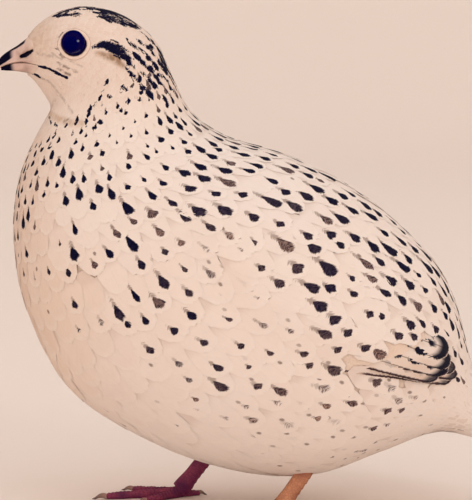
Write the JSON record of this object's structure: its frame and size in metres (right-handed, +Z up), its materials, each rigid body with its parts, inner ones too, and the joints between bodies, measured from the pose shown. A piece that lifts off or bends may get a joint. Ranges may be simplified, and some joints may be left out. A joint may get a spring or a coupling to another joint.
{
  "type": "quail",
  "caption": "Standing white quail with dark speckles, wings folded, short drooping tail, small hooked bill and bare three-toed feet with a hind toe.",
  "frame": {"origin": "on the ground plane, under the middle of the bird's bounding box", "axes": "+Z up, -X the way the bird faces, -Y its left side"},
  "size_m": [0.1494, 0.0842, 0.1463],
  "materials": {
    "plumage": "soft matte contour feathers, cream white with dark spots",
    "wing_feathers": "matte vaned feathers, cream white with dark tip marks",
    "tail_feathers": "matte vaned feathers, cream white with dark spots",
    "bill_horn": "satin horn, pinkish grey with a dark tip",
    "eye": "wet glossy near-black",
    "leg_skin": "scaly orange-tan skin",
    "leg_skin_dark": "scaly maroon skin"
  },
  "bodies": {
    "root": {"body": "plumage", "wing_left": "wing_feathers", "wing_right": "wing_feathers", "tail": "tail_feathers", "bill_upper": "bill_horn", "bill_lower": "bill_horn", "eye_left": "eye", "eye_right": "eye", "leg_left": "leg_skin", "leg_right": "leg_skin_dark"}
  },
  "joints": []
}
